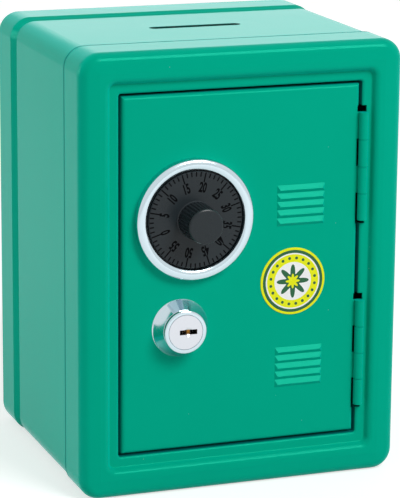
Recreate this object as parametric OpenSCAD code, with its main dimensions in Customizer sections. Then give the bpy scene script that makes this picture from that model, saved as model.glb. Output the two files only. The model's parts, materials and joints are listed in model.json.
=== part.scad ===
// Combination lock coin bank: a pressed steel money safe with a number dial, a key lock and a hinged door.
// Millimetres, +Z up, the door faces -Y. The origin is the centre of the footprint box, on the table.

/* [Case] */
// Width of the case
case_w = 130; // [124:1:160]
// Height of the case
case_h = 173; // [166:1:200]
// Depth of the case, from the front border to the back, without the knob
case_d = 113; // [100:1:140]
// Thickness of the steel sheet
sheet_t = 0.6; // [0.5:0.05:0.7]
// Corner radius of the case, seen from the front
corner_r = 8.2; // [8.1:0.1:9]
// Rounding between the front border and the sides
front_edge_r = 4; // [2.5:0.1:4]
// Slope of the front border down to its outer edge, in degrees
front_crown = 6; // [3:0.5:9]
// Rounding between the back and the sides
back_edge_r = 3; // [2:0.1:4]
// Depth of the front frame's flange, up to the seam
front_flange = 21.2; // [16:0.2:28]
// How far the wrap runs on under the front flange
wrap_tuck = 12; // [6:0.5:14]

/* [Coin slot] */
// Length of the coin slot in the top
slot_l = 38; // [30:0.5:60]
// Width of the coin slot
slot_w = 4.8; // [4.4:0.1:6]

/* [Front frame] */
// Width of the raised border
border_w = 9.2; // [9:0.1:11]
// Width of the pressed step inside the border
step_w = 3.2; // [3:0.1:4]
// Depth of the recessed land behind the border
land_depth = 2.8; // [2:0.1:3.4]
// Width of the flat land around the door opening
land_w = 3.5; // [3:0.1:4.5]
// Corner radius at the top of the pressed step
step_r = 5; // [4.6:0.1:6.5]
// Bend radius of the shoulder at the top of the pressed step
shoulder_r = 2.5; // [1.2:0.1:2.5]
// Bend radius of the sheet, on the outside of a bend
bend_r = 1.2; // [0.8:0.1:1.4]
// Corner radius of the door opening
opening_r = 0.9; // [0.8:0.1:1.8]
// Depth of the lip turned in around the opening, behind the land
lip_depth = 5; // [4.6:0.1:7]

/* [Back panel] */
// Width of the joggled band at the front of the back panel's rim
joggle_run = 3.7; // [3:0.1:5]
// Length of the plain rim of the back panel
back_rim = 18.8; // [12:0.2:24]
// Length of the tongue that slides into the wrap
tongue_l = 8; // [4:0.5:12]
// Radius of the rolled rear edge of the wrap
roll_r = 2; // [1.4:0.1:2.6]
// Angle that the rolled edge turns in by, in degrees
roll_angle = 50; // [40:1:60]
// Part of the tongue left in view between the rolled edge and the joggle
tongue_view = 2.4; // [1:0.1:4]

/* [Door] */
// Gap around the door
door_gap = 1.1; // [0.8:0.05:1.3]
// Depth of the door's turned flange
door_flange = 4; // [3:0.1:4.4]
// Rounding of the door's edges, which meet in sharp corners
door_edge_r = 1.5; // [1:0.1:2]

/* [Hinges] */
// Outer radius of the rolled knuckles
barrel_r = 1.85; // [1.7:0.05:2]
// Radial running clearance of the pin in the door's knuckles
pin_clearance = 0.05; // [0.03:0.01:0.09]
// Length of each hinge
hinge_l = 42.6; // [36:0.2:50]
// Distance between the middles of the two hinges
hinge_spread = 74.6; // [64:0.2:84]
// Gap between one knuckle and the next
knuckle_gap = 0.2; // [0.2:0.05:0.6]
// Height of the relief notch above each hinge
notch_top = 2.4; // [1:0.1:4]
// Height of the relief notch below each hinge
notch_bottom = 1.7; // [0.5:0.1:3]
// Distance of the pin's axis from the edge of the opening
hinge_out = 0.35; // [0:0.05:0.5]

/* [Pressed ribs] */
// Number of ribs in each group
rib_count = 5; // [3:1:6]
// Length of a rib
rib_l = 19.6; // [14:0.2:24]
// Distance from rib to rib
rib_pitch = 3.25; // [3.2:0.05:4]
// Height of a rib's upper slope
rib_up = 1.85; // [1.4:0.05:1.9]
// Height of a rib's lower slope
rib_down = 1.2; // [0.8:0.05:1.25]
// How far a rib stands out
rib_out = 1; // [0.8:0.05:1.3]
// Length of the slope at a rib's ends
rib_end = 1.1; // [0.6:0.1:2]
// Distance of the ribs' middle from the hinge side of the opening
ribs_in = 24.8; // [20:0.2:28]
// Height of the upper ribs above the middle of the door
ribs_up = 23.7; // [20:0.1:40]
// Depth of the lower ribs below the middle of the door
ribs_down = 40.7; // [34:0.1:46]

/* [Label] */
// Radius of the round label
label_r = 13.3; // [8:0.1:14.5]
// Thickness of the label
label_t = 0.3; // [0.15:0.05:0.5]
// Distance of the label from the hinge side of the opening
label_in = 27.7; // [20:0.1:29]
// Depth of the label below the middle of the door
label_down = 6.4; // [0:0.1:10]

/* [Dial] */
// Distance of the dial's axis from the lock side of the opening
dial_in = 29.5; // [28:0.1:32]
// Height of the dial's axis above the middle of the door
dial_up = 21.4; // [21:0.1:26]
// Outer radius of the dial ring
ring_r = 23.5; // [23:0.1:25]
// Inner radius of the dial ring
ring_in_r = 19.3; // [19.2:0.05:19.6]
// How far the dial ring stands out from the door
ring_out = 3.9; // [3.6:0.1:4.4]
// Radius of the dial
dial_r = 18.8; // [16.5:0.1:18.9]
// Thickness of the dial
dial_t = 1.6; // [1.2:0.1:1.8]
// Height of the dial's face above the door
dial_out = 3.1; // [2.6:0.05:3.4]
// Number of marks round the dial
mark_count = 60; // [20:10:60]
// Turn of the dial at rest, clockwise from its mark 20, in degrees
dial_turn = 12.3; // [0:0.1:30]
// Radius of the knob at its foot
knob_r = 7.2; // [6:0.1:8]
// Radius of the knob's face
knob_face_r = 6.8; // [5.5:0.1:7.2]
// Height of the knob's face above the door
knob_out = 15.1; // [11:0.1:18]
// How deep the spindle sits in the knob, above the dial's face
spindle_seat = 5.9; // [4:0.1:7]
// Number of flutes on the knob
flute_count = 32; // [20:1:36]

/* [Combination wheels] */
// Radius of the spindle
spindle_r = 2.5; // [2:0.1:3]
// Radial running clearance on the spindle
spindle_clearance = 0.05; // [0.03:0.01:0.09]
// Radius of the combination wheels
wheel_r = 17; // [16.4:0.1:17.4]
// Thickness of each wheel
wheel_t = 1.6; // [1.2:0.1:2]
// Free space between two wheels, where their pegs meet
wheel_space = 1.6; // [1.4:0.1:2.4]
// Radius of the circle that the pegs run on
peg_circle_r = 10; // [8:0.1:11]
// Radius of a peg
peg_r = 1.5; // [1:0.1:1.8]
// Wall of the wheel housing
housing_t = 1.2; // [1:0.1:1.4]

/* [Key lock] */
// Distance of the lock's axis from the lock side of the opening
lock_in = 24.4; // [23.5:0.1:26]
// Depth of the lock's axis below the middle of the door
lock_down = 21.1; // [21:0.1:24]
// Radius of the rosette
rosette_r = 11.3; // [10:0.1:13]
// Radius of the lock's face
lock_face_r = 8.4; // [8.2:0.1:9.2]
// Height of the lock's face above the door
lock_out = 7.2; // [6.2:0.1:9]
// Radius of the lock's threaded barrel
lock_barrel_r = 7; // [6.8:0.1:7.2]
// Radius of the turning plug
plug_r = 5; // [4.6:0.1:5.4]
// Radial running clearance of the plug
plug_clearance = 0.05; // [0.03:0.01:0.09]
// Width of the keyway
keyway_w = 7; // [6:0.1:7.4]
// Height of the keyway
keyway_h = 1.9; // [1.4:0.1:2.4]
// Distance of the keyway's middle from the lock's axis
keyway_shift = 1; // [0:0.1:1]
// Length of a wafer, across the keyway
wafer_l = 7; // [5:0.1:7.2]
// Width of a wafer
wafer_w = 1.2; // [1:0.1:1.5]
// Thickness of a wafer
wafer_t = 0.8; // [0.5:0.1:1]
// Thickness of the cam
cam_t = 1.5; // [1:0.1:2]
// Width of the cam's arm
cam_w = 8; // [6:0.1:9]
// How far the cam reaches behind the lip
cam_catch = 4.1; // [3.4:0.1:4.6]
// Running gap between the cam and the lip
cam_gap = 0.4; // [0.3:0.05:0.8]

/* [Hidden] */
$fn = 96;

enamel = [0, 0.62, 0.48];
chrome = [0.88, 0.9, 0.92];
black_plastic = [0.2, 0.21, 0.22];
grey_plastic = [0.45, 0.46, 0.47];
steel = [0.66, 0.67, 0.68];
brass = [0.78, 0.62, 0.3];
label_yellow = [0.94, 0.95, 0.1];

// A cut runs this far past a face that it leaves, so that no skin stays
over = 0.5;
// The bent parts of a sheet run this far into its flat parts
lap = 0.3;
// Play between pieces that pass each other, and the smaller plays along the spindle
play = 0.4;
end_play = 0.2;
washer_play = 0.1;
// A screw's hole is this much wider than the screw, in radius
hole_play = 0.15;
// Turned and moulded edges are broken by this much
chamfer = 0.3;

// Places in the case
knob_reach = knob_out - land_depth;
front_y = (knob_reach - case_d) / 2;
mid_z = case_h / 2;
opening_w = case_w - 2 * (border_w + step_w + land_w);
opening_h = case_h - 2 * (border_w + step_w + land_w);
door_w = opening_w - 2 * door_gap;
door_h = opening_h - 2 * door_gap;

// The number of flats that a small bend is drawn with
bend_steps = 6;

// The front border slopes from here outwards, and the edge's arc has its centre at this depth
crown_w = corner_r - 2 * lap;
crown_y = -front_edge_r * cos(front_crown)
    - (crown_w - front_edge_r + front_edge_r * sin(front_crown)) * tan(front_crown);
tuck = 0.002;

// The wrap lies one sheet inside the outline, and the back panel's tongue lies inside its rolled edge
wrap_end = case_d - back_rim - joggle_run - tongue_view;
tongue_inset = sheet_t + roll_r - (roll_r - sheet_t) * cos(roll_angle);

// Hinges: the sheets' back faces meet the knuckles' backs
hinge_x = opening_w / 2 + hinge_out;
hinge_z = -sheet_t + barrel_r;
pin_r = barrel_r - sheet_t - pin_clearance;
knuckle_pitch = hinge_l / 4;
knuckle_l = knuckle_pitch - knuckle_gap;
frame_cut_x = hinge_x + sqrt(barrel_r * barrel_r - hinge_z * hinge_z) + play / 2;
door_cut_x = hinge_x - barrel_r - play;

// Dial and lock axes, seen from the front and measured from the middle of the door
dial_at = [-opening_w / 2 + dial_in, dial_up];
lock_at = [-opening_w / 2 + lock_in, -lock_down];
label_at = [opening_w / 2 - label_in, -label_down];
ribs_x = opening_w / 2 - ribs_in;

// Stations behind the door's face, all negative: the cam, the wheels on the spindle and the housing
cam_z = -lip_depth - cam_gap;
cam_len = lock_in + cam_catch;
gate_play = 0.6;
gate_r = cam_len + gate_play;
spindle_top = dial_out + spindle_seat;
bush_r = spindle_r + 1.5;
bush_end_z = -sheet_t - housing_t - play;
sleeve_z = bush_end_z - end_play;
drive_z = cam_z - cam_t - 3 * play;
middle_z = drive_z - wheel_t - wheel_space;
rear_z = middle_z - wheel_t - wheel_space;
washer_r = spindle_r + 2;
clip_z = rear_z - wheel_t - washer_play;
clip_t = 0.8;
groove_r = spindle_r - 0.5;
spindle_tail = 1.1;
spindle_end_z = clip_z - clip_t - spindle_tail;
cover_z = spindle_end_z - 2 * play;
cover_t = 1.2;
peg_l = wheel_space - end_play;

// The ring's posts pass through the door and take the screws that hold the housing and its cover
post_r = 1.5;
post_circle_r = ring_r - post_r - 0.9;
post_angles = [90, 195, 345];
screw_r = 1;
screw_bite = 0.8;
screw_head_r = 2.2;
screw_head_t = 1.3;
boss_r = 2.6;
housing_r = ring_r;
ring_crown = 5;

// Lock details
neck_r = lock_face_r - 0.8;
rosette_h = lock_out - 2.4;
lock_rim = 1.6;
plug_face_r = lock_face_r - lock_rim;
plug_face_t = 1;
keyway_l = lock_out + 2;
keyway_round_r = 1.8;
keyway_dimple = 0.5;
keyway_x = min(keyway_shift, plug_r - keyway_w / 2 - 0.5);
wafer_pitch = 2.2;
tenon = 6;
cam_screw_r = 1.5;
cam_screw_bite = 2;
cam_screw_head_r = 3.1;
cam_screw_head_t = 1.8;
cam_washer_r = 4.5;
cam_washer_t = 0.6;
lock_nut_t = 2.6;
lock_nut_w = 2 * lock_barrel_r + 4;
mark_w = 0.5;
mark_depth = 0.25;
long_mark = 3.7;
short_mark = 1.7;
flute_r = 0.5;

// Places its children in the front view: x to the right, y up from the middle, z towards the viewer
module front_view() {
    translate([0, front_y, mid_z]) rotate([90, 0, 0]) children();
}

// The same view, with z from the door's face
module door_view() {
    front_view() translate([0, 0, -land_depth]) children();
}

// A flat rounded rectangle
module rounded_rect(w, h, r) {
    square([w - 2 * r, h], center = true);
    square([w, h - 2 * r], center = true);
    for (x = [-1, 1], y = [-1, 1]) translate([x * (w / 2 - r), y * (h / 2 - r)]) circle(r);
}

// Sweeps a profile round a rounded rectangle: x of the profile points outwards from the outline
module rim(w, h, r) {
    for (side = [0:3]) rotate([0, 0, 90 * side]) {
        across = (side % 2 == 0 ? w / 2 : h / 2) - r;
        along = (side % 2 == 0 ? h / 2 : w / 2) - r;
        translate([across, 0, 0]) rotate([90, 0, 0])
            linear_extrude(2 * along, center = true) translate([r, 0]) children();
        translate([across, along, 0]) rotate_extrude(angle = 90) intersection() {
            translate([r, 0]) children();
            translate([0, -case_d - over]) square([case_w, case_d + 2 * over]);
        }
    }
}

// The solid side of a rounded edge, from its corner at the origin inwards and backwards
module edge_solid(depth, edge_r) {
    translate([-edge_r - lap, -depth]) square([edge_r + lap, depth - edge_r]);
    translate([-edge_r - lap, -depth]) square([lap, depth]);
    translate([-edge_r, -edge_r]) intersection() {
        circle(edge_r);
        square(2 * edge_r);
    }
}

// The bent sheet of a rounded edge with its flange and a lap onto the flat plate
module edge_sheet(depth, edge_r) {
    difference() {
        edge_solid(depth, edge_r);
        translate([-sheet_t, -sheet_t]) edge_solid(depth, edge_r - sheet_t);
    }
}

// The solid side of the sloped border, its edge and its flange, cut level at a height
module crown_solid(depth, edge_r, level) {
    centre = [-front_edge_r, crown_y];
    along = [-cos(front_crown), sin(front_crown)];
    foot = centre + (edge_r - tuck) * [sin(front_crown), cos(front_crown)];
    translate([-front_edge_r, -depth]) square([edge_r, depth + crown_y]);
    translate(centre) intersection() {
        circle(edge_r);
        square(2 * edge_r);
    }
    intersection() {
        polygon([[-front_edge_r, -depth], centre, foot, foot + 2 * corner_r * along,
            [-2 * corner_r, -depth]]);
        translate([-crown_w - lap, -depth]) square([crown_w + lap, depth + level]);
    }
}

// The bent sheet of the sloped border
module crown_sheet(depth) {
    difference() {
        crown_solid(depth, front_edge_r, 0);
        crown_solid(depth + over, front_edge_r - sheet_t, -sheet_t);
    }
}

// Part of a ring between two angles
module arc_band(in_r, out_r, from, to) {
    intersection() {
        difference() {
            circle(out_r);
            circle(in_r);
        }
        polygon([[0, 0], for (a = [from, (from + to) / 2, to]) 2 * out_r * [cos(a), sin(a)]]);
    }
}

// A sheet that runs along x, steps down by two bends and a slope, and goes on straight
module stepped_sheet(lead, run, drop, tail, top_bend_r) {
    foot_r = bend_r - sheet_t;
    top_r = min(top_bend_r, run - foot_r - 0.1);
    radii = top_r + foot_r;
    slope = atan2(radii, sqrt(run * run + (radii - drop) * (radii - drop) - radii * radii))
        - atan2(radii - drop, run);
    there = [for (i = [0:bend_steps]) slope * i / bend_steps];
    back = [for (i = [0:bend_steps]) slope - slope * i / bend_steps];
    top = [0, -top_r];
    foot = [run, foot_r - drop];
    polygon([
        [-lead, 0],
        for (a = there) top + top_r * [sin(a), cos(a)],
        for (a = back) foot - foot_r * [sin(a), cos(a)],
        [run + tail, -drop],
        [run + tail, -drop - sheet_t],
        for (a = there) foot - bend_r * [sin(a), cos(a)],
        for (a = back) top + (top_r - sheet_t) * [sin(a), cos(a)],
        [-lead, -sheet_t]]);
}

// Places its children at each hinge's middle, on the pin's axis
module at_hinge(side) {
    translate([hinge_x, side * hinge_spread / 2, hinge_z]) children();
}

// Room for a hinge, between two x positions in the door's view
module hinge_room(from_x, to_x, behind) {
    for (side = [-1, 1])
        translate([from_x, side * hinge_spread / 2 - hinge_l / 2 - notch_bottom, -behind])
            cube([to_x - from_x, hinge_l + notch_bottom + notch_top, behind + over]);
}

// Every second knuckle of both hinges, with the leaf that ties it to its sheet
module knuckles(first, leaf_l, bore_r) {
    for (side = [-1, 1], i = [first, first + 2]) at_hinge(side)
        translate([0, hinge_l / 2 - (i + 0.5) * knuckle_pitch, 0]) difference() {
            union() {
                rotate([90, 0, 0]) cylinder(knuckle_l, barrel_r, barrel_r, center = true);
                translate([min(leaf_l, 0), -knuckle_l / 2, -barrel_r])
                    cube([abs(leaf_l), knuckle_l, sheet_t]);
            }
            rotate([90, 0, 0]) cylinder(knuckle_l + 2 * over, bore_r, bore_r, center = true);
        }
}

module front_frame() {
    foot_inset = border_w + step_w;
    color(enamel) front_view() {
        difference() {
            union() {
                rim(case_w, case_h, corner_r) crown_sheet(front_flange);
                translate([0, 0, -sheet_t]) linear_extrude(sheet_t) difference() {
                    rounded_rect(case_w - 2 * crown_w, case_h - 2 * crown_w, corner_r - crown_w);
                    rounded_rect(case_w - 2 * border_w, case_h - 2 * border_w, step_r);
                }
                rim(case_w - 2 * border_w, case_h - 2 * border_w, step_r)
                    mirror([1, 0]) stepped_sheet(lap, step_w, land_depth, lap, shoulder_r);
                translate([0, 0, -land_depth - sheet_t]) linear_extrude(sheet_t) difference() {
                    rounded_rect(case_w - 2 * foot_inset, case_h - 2 * foot_inset, step_r - step_w);
                    rounded_rect(opening_w + 2 * bend_r, opening_h + 2 * bend_r, opening_r + bend_r);
                }
                translate([0, 0, -land_depth]) rim(opening_w, opening_h, opening_r)
                    mirror([1, 0]) edge_sheet(lip_depth, bend_r);
            }
            translate([0, 0, -land_depth])
                hinge_room(opening_w / 2 - over, frame_cut_x, lip_depth + over);
        }
        translate([0, 0, -land_depth]) knuckles(1, frame_cut_x - hinge_x + over, pin_r);
    }
}

module case_wrap() {
    wrap_w = case_w - 2 * sheet_t;
    wrap_h = case_h - 2 * sheet_t;
    start = front_flange - wrap_tuck;
    roll_start = wrap_end - roll_r * sin(roll_angle);
    color(enamel) front_view() difference() {
        rim(wrap_w, wrap_h, corner_r - sheet_t) {
            translate([-sheet_t, -roll_start]) square([sheet_t, roll_start - start]);
            translate([-roll_r, -roll_start]) arc_band(roll_r - sheet_t, roll_r, -roll_angle, 0);
        }
        translate([0, wrap_h / 2 - sheet_t, -case_d / 2]) rotate([-90, 0, 0])
            translate([0, 0, -over]) linear_extrude(sheet_t + 2 * over) {
                square([slot_l - slot_w, slot_w], center = true);
                for (x = [-1, 1]) translate([x * (slot_l - slot_w) / 2, 0]) circle(slot_w / 2);
            }
    }
}

module back_panel() {
    joggle = case_d - back_rim;
    tongue = joggle - joggle_run - wrap_end + tongue_l;
    plate_r = corner_r - back_edge_r;
    color(enamel) front_view() {
        rim(case_w, case_h, corner_r) {
            translate([0, -case_d]) mirror([0, 1]) edge_sheet(back_rim, back_edge_r);
            translate([0, -joggle]) mirror([1, -1])
                stepped_sheet(lap, joggle_run, tongue_inset, tongue, bend_r);
        }
        translate([0, 0, -case_d]) linear_extrude(sheet_t)
            rounded_rect(case_w - 2 * back_edge_r, case_h - 2 * back_edge_r, plate_r);
    }
}

module hinge_pin(side) {
    color(enamel) door_view() at_hinge(side) rotate([90, 0, 0])
        cylinder(hinge_l - knuckle_gap, pin_r, pin_r, center = true);
}

module hinge_pin_upper() {
    hinge_pin(1);
}

module hinge_pin_lower() {
    hinge_pin(-1);
}

// One rib as a ridge with hipped ends, carried on below its foot by a depth
module rib_wedge(below) {
    k = (rib_out + below) / rib_out;
    x0 = rib_l / 2 - rib_end;
    x = x0 + rib_end * k;
    up = (rib_up - rib_down) / 2;
    top = up + rib_down * k;
    foot = up - rib_up * k;
    mirror([0, 1, 0]) polyhedron(
        points = [[-x, foot, -below], [x, foot, -below], [x, top, -below], [-x, top, -below],
            [-x0, up, rib_out], [x0, up, rib_out]],
        faces = [[0, 1, 2, 3], [0, 4, 5, 1], [1, 5, 2], [2, 5, 4, 3], [3, 4, 0]]);
}

module at_ribs() {
    for (group_y = [ribs_up, -ribs_down], i = [0:rib_count - 1])
        translate([ribs_x, group_y + (i - (rib_count - 1) / 2) * rib_pitch, 0]) children();
}

// A block with its front at zero, whose four front edges are rounded and meet in sharp corners
module rounded_block(w, h, depth, edge_r) {
    difference() {
        translate([-w / 2, -h / 2, -depth]) cube([w, h, depth]);
        for (side = [0:3]) rotate([0, 0, 90 * side]) {
            across = (side % 2 == 0 ? w : h) / 2 - edge_r;
            along = side % 2 == 0 ? h : w;
            translate([across, 0, -edge_r]) rotate([90, 0, 0])
                linear_extrude(along + 2 * over, center = true) difference() {
                    square(edge_r + over);
                    circle(edge_r);
                }
        }
    }
}

module door_panel() {
    color(enamel) door_view() {
        difference() {
            union() {
                difference() {
                    rounded_block(door_w, door_h, door_flange, door_edge_r);
                    translate([0, 0, -sheet_t]) rounded_block(door_w - 2 * sheet_t, door_h - 2 * sheet_t,
                        door_flange, door_edge_r - sheet_t);
                }
                at_ribs() rib_wedge(sheet_t / 2);
            }
            at_ribs() translate([0, 0, -sheet_t]) rib_wedge(sheet_t / 2);
            hinge_room(door_cut_x, opening_w / 2, door_flange + over);
            translate([dial_at[0], dial_at[1], -sheet_t - over])
                cylinder(sheet_t + 2 * over, ring_in_r + sheet_t, ring_in_r + sheet_t);
            at_posts() translate([0, 0, -sheet_t - over])
                cylinder(sheet_t + 2 * over, post_r + hole_play, post_r + hole_play);
            translate([lock_at[0], lock_at[1], -sheet_t - over])
                cylinder(sheet_t + 2 * over, lock_barrel_r + hole_play, lock_barrel_r + hole_play);
        }
        knuckles(0, door_cut_x - hinge_x - over, barrel_r - sheet_t);
    }
}

module label_disc() {
    color(label_yellow) door_view() translate([label_at[0], label_at[1], 0])
        cylinder(label_t, label_r, label_r);
}

module at_posts() {
    for (a = post_angles)
        translate([dial_at[0] + post_circle_r * cos(a), dial_at[1] + post_circle_r * sin(a), 0]) children();
}

module at_dial() {
    translate([dial_at[0], dial_at[1], 0]) children();
}

module at_lock() {
    translate([lock_at[0], lock_at[1], 0]) children();
}

// A plain tube along z
module tube(from_z, to_z, out_r, in_r) {
    translate([0, 0, from_z]) difference() {
        cylinder(to_z - from_z, out_r, out_r);
        translate([0, 0, -over]) cylinder(to_z - from_z + 2 * over, in_r, in_r);
    }
}

module dial_ring() {
    color(chrome) door_view() {
        difference() {
            union() {
                at_dial() rotate_extrude() intersection() {
                    polygon([[ring_in_r, -sheet_t], [ring_in_r + sheet_t, -sheet_t],
                        [ring_in_r + sheet_t, 0], [ring_r, 0], [ring_r, ring_out - 3 * chamfer],
                        [ring_r - 3 * chamfer, ring_out], [ring_in_r + 2 * chamfer, ring_out],
                        [ring_in_r, ring_out - 2 * chamfer]]);
                    translate([(ring_r + ring_in_r) / 2, ring_out - ring_crown]) circle(ring_crown);
                }
                at_posts() translate([0, 0, -sheet_t - housing_t])
                    cylinder(sheet_t + housing_t + ring_out / 2, post_r, post_r);
            }
            at_posts() translate([0, 0, -sheet_t - housing_t - over])
                cylinder(sheet_t + housing_t + screw_bite + end_play + over, screw_r, screw_r);
        }
    }
}

module spindle_bush() {
    bore_r = spindle_r + spindle_clearance;
    color(brass) door_view() at_dial() {
        tube(-sheet_t, 0, bush_r + 1, bore_r);
        tube(bush_end_z, -sheet_t, bush_r, bore_r);
    }
}

module wheel_housing() {
    wall_z = -sheet_t - housing_t;
    color(grey_plastic) door_view() difference() {
        union() {
            at_dial() {
                tube(wall_z, -sheet_t, housing_r, bush_r);
                tube(cover_z, wall_z, housing_r, housing_r - housing_t);
            }
            intersection() {
                at_posts() translate([0, 0, cover_z]) cylinder(wall_z - cover_z, boss_r, boss_r);
                at_dial() translate([0, 0, cover_z]) cylinder(wall_z - cover_z, housing_r, housing_r);
            }
        }
        at_posts() translate([0, 0, wall_z]) cylinder(housing_t + over, post_r, post_r);
        at_posts() translate([0, 0, cover_z - over])
            cylinder(wall_z - cover_z + 2 * over, screw_r + hole_play, screw_r + hole_play);
        at_lock() translate([0, 0, cover_z - over])
            cylinder(wall_z - cover_z + over - play, gate_r + gate_play, gate_r + gate_play);
    }
}

module housing_cover() {
    color(grey_plastic) door_view() difference() {
        at_dial() translate([0, 0, cover_z - cover_t]) cylinder(cover_t, housing_r, housing_r);
        at_posts() translate([0, 0, cover_z - cover_t - over])
            cylinder(cover_t + 2 * over, screw_r + hole_play, screw_r + hole_play);
    }
}

// A screw head that starts at its seat and stands out backwards, with a cross cut into it
module screw_head(head_r, head_t) {
    arm_l = 0.58 * head_r;
    arm_w = 0.12 * head_r;
    edge = head_t / 3;
    mirror([0, 0, 1]) difference() {
        rotate_extrude() polygon([[0, 0], [head_r, 0], [head_r, head_t - edge], [head_r - edge, head_t],
            [0, head_t]]);
        for (a = [0, 90]) rotate([0, 0, a]) translate([-arm_l, -arm_w, head_t / 2])
            cube([2 * arm_l, 2 * arm_w, head_t]);
    }
}

module cover_screws() {
    back = cover_z - cover_t;
    color(steel) door_view() at_posts() translate([0, 0, back]) {
        cylinder(screw_bite - back, screw_r, screw_r);
        screw_head(screw_head_r, screw_head_t);
    }
}

module lock_rosette() {
    brim = [rosette_r - chamfer, 2 * chamfer];
    collar = [neck_r + 0.5, rosette_h - chamfer];
    flare = (brim + collar) / 2 + 1.4 * [collar[1] - brim[1], brim[0] - collar[0]];
    color(chrome) door_view() at_lock() rotate_extrude() difference() {
        polygon([[lock_barrel_r, 0], [rosette_r, 0], [rosette_r, chamfer], brim, [brim[0], collar[1]], collar,
            [collar[0] - chamfer, rosette_h], [lock_barrel_r, rosette_h]]);
        translate(flare) circle(norm(flare - brim) + play / 8);
    }
}

module lock_body() {
    bore_r = plug_r + plug_clearance;
    seat_r = plug_face_r + plug_clearance;
    seat_z = lock_out - plug_face_t - plug_clearance;
    back_z = cam_z + 2 * play;
    flange_t = 1.2;
    groove = chamfer / 2;
    color(chrome) door_view() at_lock() rotate_extrude() polygon([[bore_r, back_z],
        [lock_barrel_r - chamfer, back_z], [lock_barrel_r, back_z + chamfer], [lock_barrel_r, rosette_h],
        [neck_r, rosette_h], [neck_r, lock_out - flange_t - chamfer], [lock_face_r, lock_out - flange_t],
        [lock_face_r, lock_out - 2 * chamfer], [lock_face_r - 2 * chamfer, lock_out],
        [seat_r + groove, lock_out], [seat_r, lock_out - groove], [seat_r, seat_z], [bore_r, seat_z]]);
}

module lock_nut() {
    corner = lock_nut_w / 2 / cos(30);
    color(steel) door_view() at_lock() translate([0, 0, -sheet_t - lock_nut_t]) difference() {
        cylinder(lock_nut_t, corner, corner, $fn = 6);
        translate([0, 0, -over]) cylinder(lock_nut_t + 2 * over, lock_barrel_r, lock_barrel_r);
    }
}

// One mark of the dial, clockwise from the top
module dial_mark(angle, length) {
    rotate([0, 0, 90 - angle]) translate([dial_r - length, -mark_w / 2, dial_out - mark_depth])
        cube([length + over, mark_w, mark_depth + over]);
}

module dial() {
    back_z = dial_out - dial_t;
    hub_r = spindle_r + 2;
    knob_taper = atan((knob_r - knob_face_r) / (knob_out - dial_out));
    numbered = 5;
    color(black_plastic) door_view() at_dial() difference() {
        rotate_extrude() polygon([[0, end_play], [hub_r, end_play], [hub_r, back_z], [dial_r, back_z],
            [dial_r, dial_out - chamfer], [dial_r - chamfer, dial_out], [knob_r + chamfer, dial_out],
            [knob_r, dial_out + chamfer], [knob_face_r, knob_out - 2 * chamfer],
            [knob_face_r - 0.7 * chamfer, knob_out - 0.7 * chamfer],
            [knob_face_r - 2 * chamfer, knob_out], [0, knob_out]]);
        translate([0, 0, -over]) cylinder(spindle_top + over, spindle_r, spindle_r);
        for (i = [0:flute_count - 1]) rotate([0, 0, i * 360 / flute_count])
            translate([knob_r + flute_r / 3, 0, dial_out + 3 * chamfer]) rotate([0, -knob_taper, 0])
                cylinder(knob_out - dial_out - 6 * chamfer, flute_r, flute_r, $fn = 24);
        for (i = [0:mark_count - 1])
            dial_mark(dial_turn + i * 360 / mark_count, i % numbered == 0 ? long_mark : short_mark);
    }
}

module dial_spindle() {
    color(steel) door_view() at_dial() rotate_extrude() polygon([[0, spindle_end_z],
        [spindle_r - chamfer, spindle_end_z], [spindle_r, spindle_end_z + chamfer],
        [spindle_r, clip_z - clip_t], [groove_r, clip_z - clip_t], [groove_r, clip_z],
        [spindle_r, clip_z], [spindle_r, spindle_top], [0, spindle_top]]);
}

module spindle_sleeve() {
    color(black_plastic) door_view() at_dial() tube(drive_z, sleeve_z, bush_r, spindle_r);
}

// A combination wheel with its gate towards the lock
module wheel(front_z, bore_r) {
    hole_r = 1.6 * peg_r;
    difference() {
        at_dial() tube(front_z - wheel_t, front_z, wheel_r, bore_r);
        at_lock() translate([0, 0, front_z - wheel_t - over])
            cylinder(wheel_t + 2 * over, gate_r, gate_r);
        at_dial() for (side = [-1, 1])
            translate([side * peg_circle_r, 0, front_z - wheel_t - over])
                cylinder(wheel_t + 2 * over, hole_r, hole_r);
    }
}

// A drive peg above or below the spindle
module peg(side, from_z) {
    at_dial() translate([0, side * peg_circle_r, from_z]) cylinder(peg_l, peg_r, peg_r);
}

module drive_wheel() {
    color(black_plastic) door_view() {
        wheel(drive_z, spindle_r);
        peg(1, drive_z - wheel_t - peg_l);
    }
}

module middle_wheel() {
    color(black_plastic) door_view() {
        wheel(middle_z, spindle_r + spindle_clearance);
        peg(-1, middle_z);
        peg(1, middle_z - wheel_t - peg_l);
    }
}

module rear_wheel() {
    color(black_plastic) door_view() {
        wheel(rear_z, spindle_r + spindle_clearance);
        peg(-1, rear_z);
    }
}

module spacer_washers() {
    color(steel) door_view() at_dial() {
        tube(middle_z + washer_play, drive_z - wheel_t, washer_r, spindle_r);
        tube(rear_z + washer_play, middle_z - wheel_t - washer_play, washer_r, spindle_r);
    }
}

module retaining_clip() {
    mouth = 1.4 * groove_r;
    color(steel) door_view() at_dial() difference() {
        tube(clip_z - clip_t, clip_z, washer_r, groove_r);
        translate([0, -mouth / 2, clip_z - clip_t - over]) cube([2 * washer_r, mouth, clip_t + 2 * over]);
    }
}

// The brass wafers stand across the keyway, one behind the other
module wafers() {
    for (i = [1:3])
        translate([keyway_x + washer_play, -wafer_l / 2, lock_out - plug_face_t - i * wafer_pitch])
            cube([wafer_w, wafer_l, wafer_t]);
}

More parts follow.
